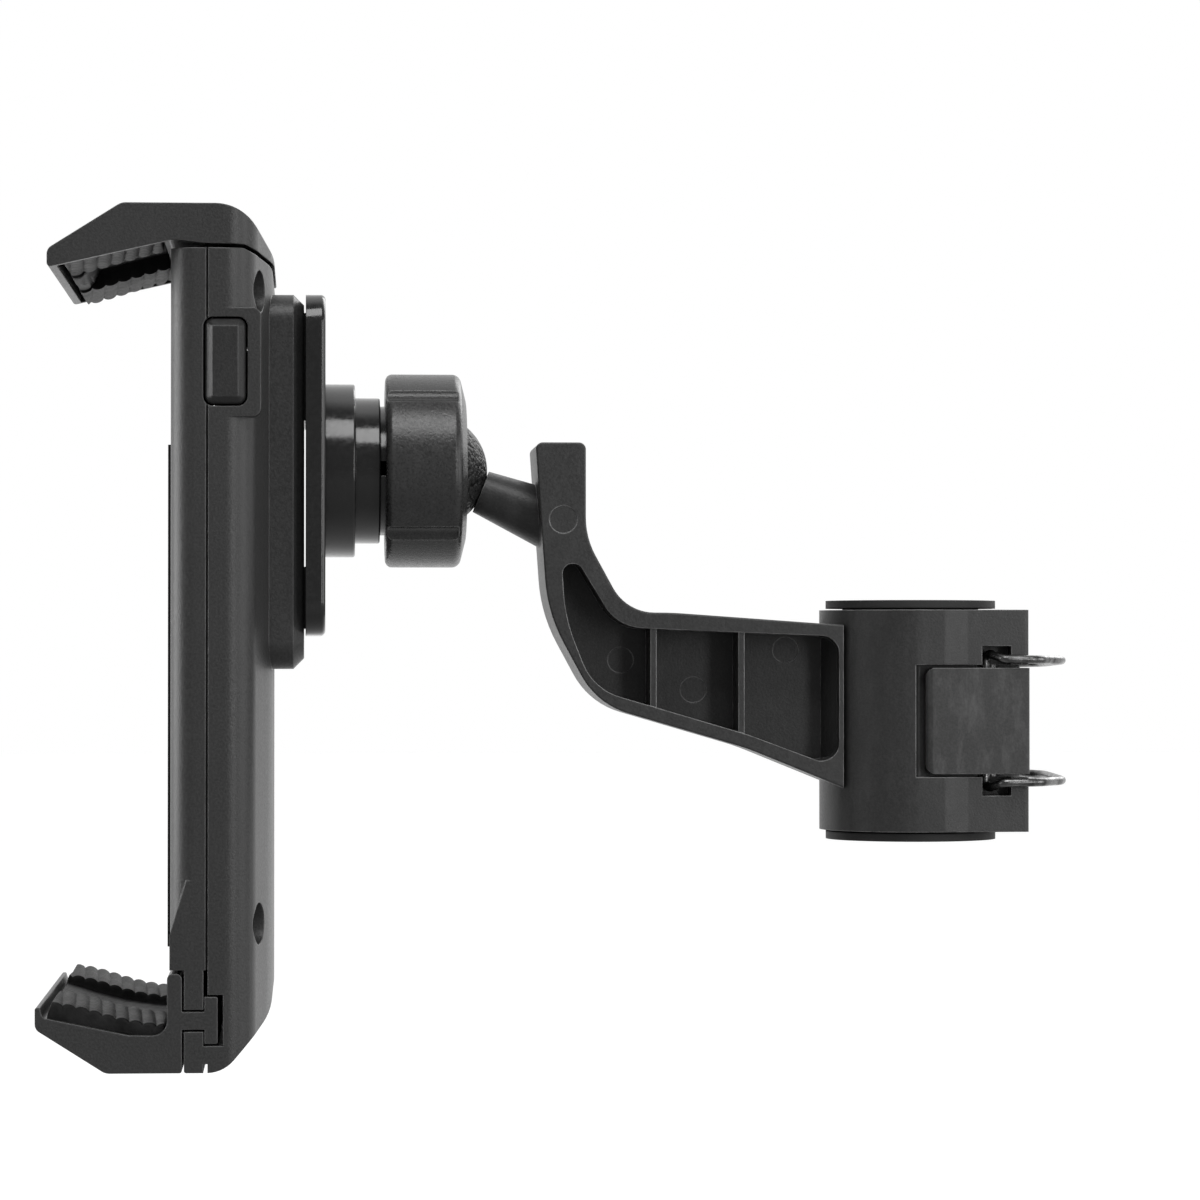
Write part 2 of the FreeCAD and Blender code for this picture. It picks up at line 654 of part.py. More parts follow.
def makeSocketPlate():
    body = newBody("socket_plate")
    half = "plateHalf"
    face = [
        (f"-{half}", f"-{half}", 6),
        (half, f"-{half}", 6),
        (half, half, 6),
        (f"-{half}", half, 6),
    ]
    slab(body, "Pad", "YZ_Plane", [face], "ballAlong + plateBack - plateThick", "ballAlong + plateBack",
         shift=("0", "neckHeight"))
    slab(body, "Pad", "YZ_Plane", docks(), "dockFloor", "ballAlong + plateBack - 1")
    edge = size("ballAlong + plateBack")
    eased(body, "Fillet", "0.8", lambda e: within(e, x=(edge, edge)))
    return body


# The holder: two shells, a sliding lower jaw and a sprung upper jaw.


def key(gap):
    # The outline of a release button, or of its door with the gap round it.
    wide, tall = f"buttonWide / 2 + {gap}", f"buttonTall / 2 + {gap}"
    low, high = (f"buttonAlong - ({wide})", f"buttonHeight - ({tall})"), (f"buttonAlong + {wide}", f"buttonHeight + {tall}")
    return [(*corner, f"keyRound + {gap}") for corner in box(low, high)]


def trimCorners(body, proud, low, high):
    # Takes away what stands outside the rounded rear corners, or more than a little proud of them.
    for side in ("-", ""):
        outside = [
            ("seam", f"{side}(holderHalf)"),
            (f"cornerAlong + {proud}", f"{side}(holderHalf)", "cornerRound"),
            (f"shellRear + {proud}", f"{side}(crownHalf)", 40),
            (f"shellRear + {proud}", f"{side}20"),
            ("-108", f"{side}20"),
            ("-108", f"{side}(holderHalf + 2)"),
            ("seam", f"{side}(holderHalf + 2)"),
        ]
        outside = outside[::-1] if side else outside
        slab(body, "Pocket", "XY_Plane", [outside], low, high)


def makeRearShell():
    body = newBody("rear_shell")
    crown = [
        ("seam", "-holderHalf"),
        ("cornerAlong", "-holderHalf", "cornerRound"),
        ("shellRear", "-crownHalf", 40),
        ("shellRear", "crownHalf", 40),
        ("cornerAlong", "holderHalf", "cornerRound"),
        ("seam", "holderHalf"),
    ]
    slab(body, "Pad", "XY_Plane", [crown], "shellFoot", "shellTop")
    waste = [
        ("-108", "-45"),
        ("shellRear", "-45"),
        ("shellRear", "-49.4", 6),
        ("-122.2", "shellFoot", 6),
        ("-127", "shellFoot"),
        ("-127", "-64"),
        ("-108", "-64"),
    ]
    slab(body, "Pocket", "XZ_Plane", [waste], "-holderHalf - 1", "holderHalf + 1")
    brow = [
        ("-119.7", "shellTop + 1"),
        ("-119.7", "shellTop"),
        ("-118.9", "shellTop", 2),
        ("shellRear", "78.3", 1),
        ("shellRear", "74.5"),
        ("-108", "74.5"),
        ("-108", "shellTop + 1"),
    ]
    slab(body, "Pocket", "XZ_Plane", [brow], "-holderHalf - 1", "holderHalf + 1")
    hollow = [
        ("seam - 1", "-holderHalf + wall"),
        ("cornerAlong - 1.7", "-holderHalf + wall", 3.5),
        ("shellRear - wall", "-22", 38),
        ("shellRear - wall", "22", 38),
        ("cornerAlong - 1.7", "holderHalf - wall", 3.5),
        ("seam - 1", "holderHalf - wall"),
    ]
    slab(body, "Pocket", "XY_Plane", [hollow], "floorTop", "shellTop - wall")
    well = [
        ("circle", y, z, "wellRadius")
        for y in ("-wellAcross", "wellAcross") for z in ("wellTop", "wellFoot")
    ]
    tower = [
        ("circle", y, z, "wellRadius + 1.7")
        for y in ("-wellAcross", "wellAcross") for z in ("wellTop", "wellFoot")
    ]
    slab(body, "Pad", "YZ_Plane", tower, "seam", "-116")
    trimCorners(body, "0", "shellFoot - 1", "shellTop + 1")
    base = [
        ("-baseHalf", "baseFoot", 5),
        ("baseHalf", "baseFoot", 5),
        ("baseHalf", "baseTop", 5),
        ("-baseHalf", "baseTop", 5),
    ]
    slab(body, "Pad", "YZ_Plane", [base], "shellRear - 0.8", "baseRear")
    face = size("baseRear")
    eased(body, "Chamfer", "baseChamfer", lambda edge: within(edge, x=(face, face)))
    slab(body, "Pocket", "YZ_Plane", docks(), "dockFloor", "baseRear + 1")
    surround = [
        ("seam", "surroundFoot"),
        ("surroundRear", "surroundFoot", 1.5),
        ("surroundRear", "surroundTop", 1.5),
        ("seam", "surroundTop"),
    ]
    for low, high in (("-holderHalf", "-surroundInner"), ("surroundInner", "holderHalf")):
        slab(body, "Pad", "XZ_Plane", [surround], low, high)
    slab(body, "Pocket", "YZ_Plane", well, "-121.5", "-110")
    shank = [
        ("circle", y, z, "screwRadius + 0.2")
        for y in ("-wellAcross", "wellAcross") for z in ("wellTop", "wellFoot")
    ]
    slab(body, "Pocket", "YZ_Plane", shank, "seam - 1", "-121")
    slot = box(("seam - 1", "flangeFoot - slide"), ("slotRear", "flangeTop + slide"))
    slab(body, "Pocket", "XZ_Plane", [slot], "-holderHalf - 1", "holderHalf + 1")
    rail = [
        ("railFront", "shellFoot", 0.4),
        ("railRear", "shellFoot"),
        ("railRear", "-57.2"),
        ("seam + 0.5", "-57.2"),
        ("seam + 0.5", "flangeFoot - slide"),
        ("railRear", "flangeFoot - slide"),
        ("railRear", "webFoot - slide"),
        ("railFront", "webFoot - slide"),
    ]
    slab(body, "Pad", "XZ_Plane", [rail], "-holderHalf", "holderHalf")
    slab(body, "Pocket", "XZ_Plane", [key("buttonGap")], "-holderHalf - 1", "-28")
    slab(body, "Pocket", "XZ_Plane", [key("buttonGap")], "28", "holderHalf + 1")
    mouth = box(("tongueFront - 0.4", "-tongueHalf - 0.5"), ("tongueRear + 0.4", "tongueHalf + 0.5"))
    slab(body, "Pocket", "XY_Plane", [mouth], "shellTop - wall - 1", "shellTop + 1")
    return body


def makeFrontShell():
    body = newBody("front_shell")
    outline = [
        ("shellFront", "-holderHalf", 4.2),
        ("seam - grooveWide", "-holderHalf"),
        ("seam - grooveWide", "-holderHalf + grooveDeep"),
        ("seam", "-holderHalf + grooveDeep"),
        ("seam", "holderHalf - grooveDeep"),
        ("seam - grooveWide", "holderHalf - grooveDeep"),
        ("seam - grooveWide", "holderHalf"),
        ("shellFront", "holderHalf", 4.2),
    ]
    slab(body, "Pad", "XY_Plane", [outline], "frontFoot", "shellTop")
    square = [
        ("shellFront", "frontFoot"),
        ("-127", "frontFoot"),
        ("-127", "-26.3"),
        ("-128.4", "-26.3"),
        ("shellFront", "-35.5"),
    ]
    for low, high in (("-holderHalf", "-35.8"), ("35.8", "holderHalf")):
        slab(body, "Pad", "XZ_Plane", [square], low, high)
    hollow = box(("shellFront + wall", "-holderHalf + 3.2"), ("seam + 1", "holderHalf - 3.2"))
    slab(body, "Pocket", "XY_Plane", [hollow], "frontFoot + 2.2", "shellTop - wall")
    rail = box(("railFront", "webTop + slide"), ("railRear", "frontFoot + 1"))
    slab(body, "Pad", "XZ_Plane", [rail], "-holderHalf", "holderHalf")
    post = [
        ("circle", y, z, "3.4")
        for y in ("-wellAcross", "wellAcross") for z in ("wellTop", "wellFoot")
    ]
    slab(body, "Pad", "YZ_Plane", post, "shellFront + 1", "seam")
    thread = [
        ("circle", y, z, "screwRadius - 0.05")
        for y in ("-wellAcross", "wellAcross") for z in ("wellTop", "wellFoot")
    ]
    slab(body, "Pocket", "YZ_Plane", thread, "shellFront + 2", "seam + 1")
    slab(body, "Pocket", "XZ_Plane", [key("buttonGap")], "-holderHalf - 1", "-holderHalf + 6")
    slab(body, "Pocket", "XZ_Plane", [key("buttonGap")], "holderHalf - 6", "holderHalf + 1")
    return body


def makeFrontPad():
    pad = doc.addObject("Part::Box", "FrontPad")
    pad.Label = "front_pad"
    bind(pad, {
        "Length": "0.6",
        "Width": "62",
        "Height": "85.5",
        "Placement.Base.x": "shellFront - 0.6",
        "Placement.Base.y": "-31",
        "Placement.Base.z": "-38",
    })
    return pad


def makeShellScrews():
    # Four pan-head screws at the bottom of the wells.
    tools = []
    for y in ("-wellAcross", "wellAcross"):
        for z in ("wellTop", "wellFoot"):
            for radius, start, length in (("screwRadius - 0.1", "-128.8", "7.4"), ("headRadius", "-121.5", "2")):
                part = doc.addObject("Part::Cylinder", "Screw")
                bind(part, {
                    "Radius": radius,
                    "Height": length,
                    "Placement.Base.x": start,
                    "Placement.Base.y": y,
                    "Placement.Base.z": z,
                })
                part.Placement.Rotation = Rotation(Vector(0, 1, 0), 90)
                tools.append(part)
    group = doc.addObject("Part::MultiFuse", "ShellScrews")
    group.Label = "shell_screws"
    group.Shapes = tools
    return group


def makeUpperJaw():
    body = newBody("upper_jaw")
    side = [
        ("capTip", "76.9", 0.6),
        ("-130.5", "81.8", 8),
        ("-126", "81.2", 4),
        ("-118.6", "81.0", 2),
        ("capRear", "78.85"),
        ("capRear", "80", 3.2),
        ("-119.3", "capTop", 8.5),
        ("-139.4", "capTop", 2.5),
        ("capTip", "80.0", 1.6),
    ]
    slab(body, "Pad", "XZ_Plane", [side], "-holderHalf", "holderHalf")
    trimCorners(body, "capProud", "74", "capTop + 1")
    recess = [
        ("capTip + tipWall", "74"),
        ("capTip + tipWall", "79.93", 0.3),
        ("-131.4", "85.0", 1),
        ("-131.4", "74"),
    ]
    slab(body, "Pocket", "XZ_Plane", [recess[::-1]], "-holderHalf + endWall", "holderHalf - endWall")
    tongue = [("-tongueHalf + toothDepth", "tongueFoot"), ("tongueHalf - toothDepth", "tongueFoot"),
              ("tongueHalf - toothDepth", "82"), ("-tongueHalf + toothDepth", "82")]
    slab(body, "Pad", "YZ_Plane", [tongue], "tongueFront", "tongueRear")
    for side in ("-", ""):
        near = box((f"{side}(windowInner)", "windowFoot"), (f"{side}(windowOuter)", "windowTop"))
        near = near if not side else box((f"{side}(windowOuter)", "windowFoot"), (f"{side}(windowInner)", "windowTop"))
        slab(body, "Pocket", "YZ_Plane", [near], "tongueFront - 1", "tongueRear + 1")
    count = int(size("(windowTop - windowFoot) / toothPitch"))
    for side in ("-", ""):
        tooth = [
            (f"{side}(windowOuter + 0.5)", "windowFoot + 0.2"),
            (f"{side}(windowOuter)", "windowFoot + 0.2"),
            (f"{side}(windowOuter - toothDepth)", "windowFoot + 0.4"),
            (f"{side}(windowOuter)", "windowFoot + toothPitch"),
            (f"{side}(windowOuter + 0.5)", "windowFoot + toothPitch"),
        ]
        tooth = tooth if side else tooth[::-1]
        feature = slab(body, "Pad", "YZ_Plane", [tooth], "tongueFront", "tongueRear")
        rack = body.newObject("PartDesign::LinearPattern", "Rack")
        rack.Originals = [feature]
        rack.Direction = (feature.Profile[0], ["V_Axis"])
        bind(rack, {"Length": f"toothPitch * {count - 1}"})
        rack.Occurrences = count
        body.Tip = rack
    return body


def makeLowerJaw():
    body = newBody("lower_jaw")
    side = [
        ("jawTip", "-47.6", 0.35),
        ("jawTip", "-51.2", 1.6),
        ("-141.9", "shellFoot", 2.5),
        ("jawBack", "shellFoot", 0.4),
        ("jawBack", "webFoot"),
        ("railRear + 0.2", "webFoot"),
        ("railRear + 0.2", "flangeFoot"),
        ("flangeRear", "flangeFoot", 0.3),
        ("flangeRear", "flangeTop", 0.3),
        ("railRear + 0.2", "flangeTop"),
        ("railRear + 0.2", "webTop"),
        ("jawBack", "webTop"),
        ("jawBack", "-42", 1),
        ("shellFront - 0.4", "-42", 1),
        ("shellFront - 0.4", "-52.4", 2.4),
        ("-138", "-52.3"),
        ("-152.4", "-49.3", 1),
        ("-152.9", "-47.6", 0.2),
    ]
    slab(body, "Pad", "XZ_Plane", [side], "-holderHalf", "holderHalf")
    return body


def makePad(label, low, floor, thick):
    # A rubber strip with ribs across it, on a floor line that runs from the jaw's tip to its back.
    body = newBody(label)
    corners = [Vector(x, z, 0) for x, z in floor]
    upper = []
    for start, end in zip(corners, corners[1:]):
        run = end - start
        count = round(run.Length / size("ribPitch"))
        lift = Vector(-run.y, run.x, 0).normalize() * thick
        for i in range(count):
            for part, depth in ((0.0, 0.72), (0.25, 1), (0.65, 1), (0.9, 0.72)):
                if upper and i == 0 and part == 0:
                    continue
                upper.append(start + run * ((i + part) / count) + lift * depth)
    upper.append(corners[-1] + lift * 0.72)
    outline = [(f"{p.x:.3f}", f"{p.y:.3f}") for p in corners + upper[::-1]]
    if thick < 0:
        outline = outline[::-1]
    slab(body, "Pad", "XZ_Plane", [outline], low, f"{low} + padLength")
    return body


def makeButton(label, side):
    # A key in the holder's side, with a stem behind the tongue and a toothed pawl in its window.
    body = newBody(label)
    stem = box(("tongueRear + 0.3", "buttonHeight - 4"), ("tongueRear + 1.9", "buttonHeight + 4"))
    pawl = [
        (f"{side}(pawlInner)", "buttonHeight - 4"),
        (f"{side}(windowOuter - toothDepth - 0.9)", "buttonHeight - 4"),
        (f"{side}(windowOuter - toothDepth - 0.12)", "buttonHeight - 3.2"),
        (f"{side}(windowOuter - toothDepth - 0.12)", "buttonHeight + 3.2"),
        (f"{side}(windowOuter - toothDepth - 0.9)", "buttonHeight + 4"),
        (f"{side}(pawlInner)", "buttonHeight + 4"),
    ]
    if side == "-":
        spans = ("-holderHalf - buttonProud", "-holderHalf + 4", "-pawlInner")
    else:
        spans = ("holderHalf + buttonProud", "holderHalf - 4", "pawlInner")
        pawl = pawl[::-1]
    outer, shoulder, inner = spans
    for outline, ends in (([key("0")], (outer, shoulder)), ([stem], (shoulder, inner))):
        ends = ends if side == "-" else ends[::-1]
        slab(body, "Pad", "XZ_Plane", outline, *ends)
    slab(body, "Pad", "YZ_Plane", [pawl], "tongueFront + 0.3", "tongueRear + 0.4")
    face = size(outer)
    eased(body, "Chamfer", "keyChamfer", lambda edge: within(edge, y=(face, face)))
    return body


nodes = [makeArm(), makeLiner(), makeLatchPin(), makeLever(), makeBailWire(), makeBall()]
sphere = makeSeatSphere()
nodes += [
    hollowFor(makeSocket(), "neck_socket", sphere),
    hollowFor(makeSeatRing(), "seat_ring", sphere),
    makeNut(),
    makeSocketPlate(),
    makeRearShell(),
    makeFrontShell(),
    makeFrontPad(),
    makeShellScrews(),
    makeUpperJaw(),
    makeLowerJaw(),
    makeButton("release_button_near", "-"),
    makeButton("release_button_far", ""),
]
roofSlope = 5.07 / 18.9
upperFloor = [(x, 79.93 + (x - size("capTip + tipWall")) * roofSlope) for x in (-150.0, -133.3)]
lowerFloor = [(-151.6, -49.46), (-138.0, -52.3), (-134.4, -52.356)]
for side, low in (("near", "-holderHalf + endWall + 0.1"), ("far", "holderHalf - endWall - 0.1 - padLength")):
    nodes.append(makePad(f"lower_pad_{side}", low, lowerFloor, size("padThick")))
    nodes.append(makePad(f"upper_pad_{side}", low, upperFloor, -size("padThick")))
doc.recompute()

problems = []
for thing in doc.Objects:
    if {"Invalid", "Error"} & set(thing.State):
        problems.append(f"{thing.Label} ({thing.Name}): {thing.State} {thing.getStatusString()}")
for thing in doc.Objects:
    if thing.TypeId == "PartDesign::Pocket" and not thing.Shape.isNull():
        removed = thing.BaseFeature.Shape.Volume - thing.Shape.Volume
        if removed < 0.01:
            problems.append(f"{thing.Name} of {thing.getParentGroup().Label if thing.getParentGroup() else '?'} cuts nothing")
for node in nodes:
    if node.Shape.isNull() or not node.Shape.isValid():
        problems.append(f"{node.Label}: shape null or not valid")
if problems:
    raise SystemExit("\n".join(problems))

os.makedirs("parts", exist_ok=True)
for node in nodes:
    node.Shape.exportStep(f"parts/{node.Label}.step")
    bounds = node.Shape.BoundBox
    print(f"{node.Label}: {len(node.Shape.Solids)} solid, {node.Shape.Volume:.0f} mm3, "
          f"X {bounds.XMin:.1f} {bounds.XMax:.1f} Y {bounds.YMin:.1f} {bounds.YMax:.1f} "
          f"Z {bounds.ZMin:.1f} {bounds.ZMax:.1f}")
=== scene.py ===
import json
import math

import bmesh
import bpy
import numpy as np
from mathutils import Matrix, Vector


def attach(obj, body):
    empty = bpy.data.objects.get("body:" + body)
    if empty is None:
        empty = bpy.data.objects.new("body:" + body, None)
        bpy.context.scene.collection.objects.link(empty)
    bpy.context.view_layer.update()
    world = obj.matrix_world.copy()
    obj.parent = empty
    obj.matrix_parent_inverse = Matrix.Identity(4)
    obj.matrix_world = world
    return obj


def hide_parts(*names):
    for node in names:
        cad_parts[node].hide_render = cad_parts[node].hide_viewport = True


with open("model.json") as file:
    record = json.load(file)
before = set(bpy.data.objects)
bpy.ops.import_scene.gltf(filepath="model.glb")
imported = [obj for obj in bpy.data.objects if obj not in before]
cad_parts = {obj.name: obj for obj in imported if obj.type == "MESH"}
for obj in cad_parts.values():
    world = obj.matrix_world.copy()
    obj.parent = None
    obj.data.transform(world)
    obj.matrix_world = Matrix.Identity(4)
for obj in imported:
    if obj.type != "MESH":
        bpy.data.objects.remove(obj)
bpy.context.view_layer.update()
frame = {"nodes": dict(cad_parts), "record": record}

# A tablet mount for a headrest post. X runs from the tablet to the post and Z is up. Sizes are
# in millimetres and angles in degrees, unless a note says metres.

mm = 0.001
parts = frame["nodes"]
scene = bpy.context.scene
scene.view_settings.view_transform = "Standard"
print("frame loaded:", len(parts), "parts")


# Camera

eye = {"place": (-107.751, -763.16, 12.499), "yaw": 3.888, "pitch": 0.669,
       "lens": 128.297, "sensor": 36, "near": 10}

camera = bpy.data.objects.new("camera", bpy.data.cameras.new("camera"))
camera.data.lens = eye["lens"]
camera.data.sensor_width = eye["sensor"]
camera.data.clip_start = eye["near"] * mm
camera.location = [v * mm for v in eye["place"]]
camera.rotation_euler = (math.radians(90 + eye["pitch"]), 0, math.radians(-eye["yaw"]))
scene.collection.objects.link(camera)
scene.camera = camera
print("camera set")


# Node writing: a Signal is a node's output that takes plain arithmetic,
# and a Finish is a material whose make() adds any other node.


class Signal:
    def __init__(self, finish, socket):
        self.finish, self.socket = finish, socket

    def maths(self, operation, first, second=0):
        return self.finish.make("Math", {"operation": operation}, {0: first, 1: second})

    def __add__(self, other):
        return self.maths("ADD", self, other)

    def __sub__(self, other):
        return self.maths("SUBTRACT", self, other)

    def __rsub__(self, other):
        return self.maths("SUBTRACT", other, self)

    def __mul__(self, other):
        return self.maths("MULTIPLY", self, other)

    def __abs__(self):
        return self.maths("ABSOLUTE", self)

    def __lt__(self, other):
        return self.maths("LESS_THAN", self, other)

    def least(self, other):
        return self.maths("MINIMUM", self, other)

    def most(self, other):
        return self.maths("MAXIMUM", self, other)

    def sine(self):
        return self.maths("SINE", self)

    __radd__, __rmul__ = __add__, __mul__


# how far a normal has to turn at a corner, from no effect to the full one
corners = {"samples": 6, "bent": (0.006, 0.03), "wornAndHighlit": (0.01, 0.2)}
# painted shade: how open a place must be before it is darkened, and the dark painted in seams and
# corners
seams = {"samples": 5, "open": (0.25, 0.8), "shadeAndDirt": 0.004}


class Finish:
    def __init__(self, name, kind="materials"):
        self.material = getattr(bpy.data, kind).new(name)
        self.material.use_nodes = True
        self.tree = self.material.node_tree
        self.tree.nodes.clear()

    def make(self, kind, settings=None, values=None, out=0):
        # settings go on the node first, then each socket takes a number or a Signal
        node = self.tree.nodes.new("ShaderNode" + kind)
        for key, value in (settings or {}).items():
            if key == "stops":
                for stop, (place, shade) in zip(node.color_ramp.elements, value):
                    stop.position, stop.color = place, grey(shade)
            else:
                setattr(node, key, value)
        for key, value in (values or {}).items():
            if isinstance(value, Signal):
                self.tree.links.new(value.socket, node.inputs[key])
            else:
                node.inputs[key].default_value = value
        return Signal(self, node.outputs[out]) if len(node.outputs) else None

    def where(self, scale=(1, 1, 1)):
        # the point on the object, stretched along its axes
        place = self.make("TexCoord", out="Object")
        return self.make("Mapping", {"vector_type": "POINT"}, {"Vector": place, "Scale": scale})

    def split(self, vector):
        # the three numbers of a vector
        node = self.make("SeparateXYZ", None, {"Vector": vector}).socket.node
        return [Signal(self, socket) for socket in node.outputs]

    def noise(self, scale, detail=2.0, rough=0.5, vector=None):
        # cloudy values from 0 to 1, with scale clouds to the metre
        return self.make("TexNoise", None, {
            "Vector": vector or self.where(), "Scale": scale, "Detail": detail,
            "Roughness": rough})

    def ramp(self, value, span, ends=(0, 1)):
        # the first end below the span, the second above it, a straight rise between
        return self.make("ValToRGB", {"stops": list(zip(span, ends))}, {"Fac": value})

    def tint(self, factor, first, second):
        # a colour between two colours; the sockets 6, 7 and 2 are the node's colours
        return self.make("Mix", {"data_type": "RGBA"}, {0: factor, 6: first, 7: second}, 2)

    def bump(self, height, depth, normal=None):
        # the normal, turned by the slope of height times depth
        values = {"Height": height, "Distance": depth * mm, "Strength": 1.0}
        if normal:
            values["Normal"] = normal
        return self.make("Bump", None, values)

    def rounded(self, radius):
        # The normal, rounded only at the corners, and how worn and how brightly painted as highlit
        # they are. How far it turned is 1 less the product of the hard normal and the soft one.
        soft = self.make("Bevel", {"samples": corners["samples"]}, {"Radius": radius * mm})
        hard = self.make("NewGeometry", out="Normal")
        product = self.make("VectorMath", {"operation": "DOT_PRODUCT"}, {0: soft, 1: hard}, "Value")
        turn = 1 - product
        bent = self.ramp(turn, corners["bent"])
        normal = self.make("Mix", {"data_type": "VECTOR"}, {0: bent, 4: hard, 5: soft}, 1)
        return normal, self.ramp(turn, corners["wornAndHighlit"])

    def seamShadeAndDirt(self, colour, reach):
        # painted shade: the colour darkened where occlusion is high, in seams and corners, standing
        # also for dirt gathered there
        clear = self.make("AmbientOcclusion", {"samples": seams["samples"]},
                          {"Distance": reach * mm}, "AO")
        return self.tint(self.ramp(clear, seams["open"], (1, 0)), colour, grey(seams["shadeAndDirt"]))

    def close(self, colour, rough, normal, **rest):
        # the shader and the output; rest has its other sockets, with _ for a space
        values = {"Base Color": colour, "Roughness": rough, "Normal": normal}
        values.update({key.replace("_", " "): value for key, value in rest.items()})
        shader = self.make("BsdfPrincipled", None, values)
        self.make("OutputMaterial", None, {"Surface": shader})
        return self.material


def grey(level):
    return (level, level, level, 1)


# Finishes: dark and pale are the two shades that each surface lies between

mould = {  # what all the plastics share: noises per metre, spans of the masks, shares
    "pits": (0.36, 0.64), "wornScale": 260, "wornAndHighlit": (0.3, 0.55), "streakScale": 380,
    # seam is how far the painted shade in seams and corners reaches
    "streakShape": (1, 1, 0.35), "streak": (0.48, 0.72), "seam": 0.9, "cloudShade": 0.4,
    "pitShade": 0.6, "cloudRough": 0.12, "pitRough": 0.1, "polish": 0.2,
}
plasticLooks = {
    # edge is the paler shade on corners, as wear and as a painted highlight
    "shell": {"dark": 0.023, "pale": 0.041, "edge": 0.15, "wearAndHighlight": 0.7, "rub": 0.03,
              "corner": 0.4, "cloud": 22, "stipple": 2500, "depth": 0.045, "rough": 0.4,
              "shine": 0.5},
    "button": {"dark": 0.016, "pale": 0.026, "edge": 0.15, "wearAndHighlight": 0.7, "rub": 0.03,
               "corner": 0.4, "cloud": 22, "stipple": 2500, "depth": 0.045, "rough": 0.4,
               "shine": 0.5},
    "arm": {"dark": 0.021, "pale": 0.036, "edge": 0.34, "wearAndHighlight": 1.0, "rub": 0.03,
            "corner": 0.32, "cloud": 30, "stipple": 2500, "depth": 0.03, "rough": 0.42,
            "shine": 0.5},
    "lever": {"dark": 0.027, "pale": 0.048, "edge": 0.24, "wearAndHighlight": 1.0, "rub": 0.2,
              "corner": 0.4, "cloud": 90, "stipple": 2400, "depth": 0.02, "rough": 0.44,
              "shine": 0.5},
    "neck": {"dark": 0.013, "pale": 0.018, "edge": 0.05, "wearAndHighlight": 0.4, "rub": 0.05,
             "corner": 0.3, "cloud": 60, "stipple": 1300, "depth": 0.01, "rough": 0.15,
             "shine": 0.7},
    "nut": {"dark": 0.02, "pale": 0.034, "edge": 0.3, "wearAndHighlight": 1.0, "rub": 0.04,
            "corner": 0.4, "cloud": 40, "stipple": 2100, "depth": 0.05, "rough": 0.3,
            "shine": 0.55},
}


def mouldedPlastic(name, look):
    # Colour is the base, cloudy by a slow noise, grainy by a fine one, rubbed paler in upright
    # streaks, paler on corners as wear and painted highlight, and darker in seams and corners as
    # painted shade and dirt. Roughness is the base plus both noises, less the rubbing.
    # Height is a spark-eroded stipple.
    finish = Finish(name)
    soft, corner = finish.rounded(look["corner"])
    cloud = finish.noise(look["cloud"], detail=3)
    stipple = finish.noise(look["stipple"], rough=0.6)
    pits = finish.ramp(stipple, mould["pits"])
    patches = finish.ramp(finish.noise(mould["wornScale"], 4, 0.7), mould["wornAndHighlit"])
    # painted highlight: corners painted paler, as wear and as the light their rounding catches
    wornAndHighlit = corner * patches * look["wearAndHighlight"]
    streak = finish.noise(mould["streakScale"], 5, 0.7, finish.where(mould["streakShape"]))
    rubbed = finish.ramp(streak, mould["streak"]) * look["rub"]
    shade = cloud * mould["cloudShade"] + pits * mould["pitShade"]
    colour = finish.tint(shade, grey(look["dark"]), grey(look["pale"]))
    colour = finish.tint(rubbed + wornAndHighlit, colour, grey(look["edge"]))
    # painted shade in seams and corners, standing also for dirt
    colour = finish.seamShadeAndDirt(colour, mould["seam"])
    rough = (cloud - 0.5) * mould["cloudRough"] + (pits - 0.5) * mould["pitRough"]
    rough = rough - rubbed * mould["polish"] + look["rough"]
    height = finish.bump(stipple, look["depth"], soft)
    return finish.close(colour, rough, height, Specular_IOR_Level=look["shine"])


skin = {  # what both rubbers share
    "dust": (0.42, 0.78), "lines": (0.45, 0.95), "wanderScale": 300, "wander": 2.2,
    "dustShade": 0.4, "cornerHighlight": 0.3, "lineHighlight": 0.5, "dustRough": 0.12,
    "grainRough": 0.1, "grainHeight": 0.5,
}
rubberLooks = {  # lines is their pitch, or 0 for none
    "liner": {"dark": 0.018, "pale": 0.05, "rough": 0.6, "dust": 90, "grain": 1800,
              "depth": 0.02, "lines": 0, "corner": 0.35, "shine": 0.4},
    "pad": {"dark": 0.003, "pale": 0.028, "rough": 0.5, "dust": 140, "grain": 1600,
            "depth": 0.14, "lines": 2.6, "corner": 0.12, "shine": 0.15},
}


def rubber(name, look):
    # A matt black with dusty, paler patches and a soft, low grain, with corners painted paler as
    # highlights. On the pads fine lines run along X: their height is a sine of Y, which wanders a
    # little, and their crests are painted paler as highlights.
    finish = Finish(name)
    soft, corner = finish.rounded(look["corner"])
    dust = finish.ramp(finish.noise(look["dust"], 5, 0.6), skin["dust"])
    grain = finish.noise(look["grain"], 3, 0.6)
    lines = 0
    if look["lines"]:
        wander = finish.noise(skin["wanderScale"]) * skin["wander"]
        across = finish.split(finish.where())[1]
        phase = across * (2 * math.pi / (look["lines"] * mm)) + wander
        lines = finish.ramp(phase.sine() * 0.5 + 0.5, skin["lines"])
    height = grain * skin["grainHeight"] + lines
    # painted highlight on the corners and on the crests of the lines
    shade = dust * skin["dustShade"] + corner * skin["cornerHighlight"] + lines * skin["lineHighlight"]
    colour = finish.tint(shade, grey(look["dark"]), grey(look["pale"]))
    rough = dust * skin["dustRough"] + (grain - 0.5) * skin["grainRough"] + look["rough"]
    normal = finish.bump(height, look["depth"], soft)
    return finish.close(colour, rough, normal, Specular_IOR_Level=look["shine"])


ballLook = {"dark": 0.004, "pale": 0.026, "cells": 1350, "border": 0.35, "dent": 0.8,
            "swell": 0.8, "lit": (0.75, 1.0), "depth": 0.45, "rough": 0.48, "vary": 0.2,
            "shine": 0.3}


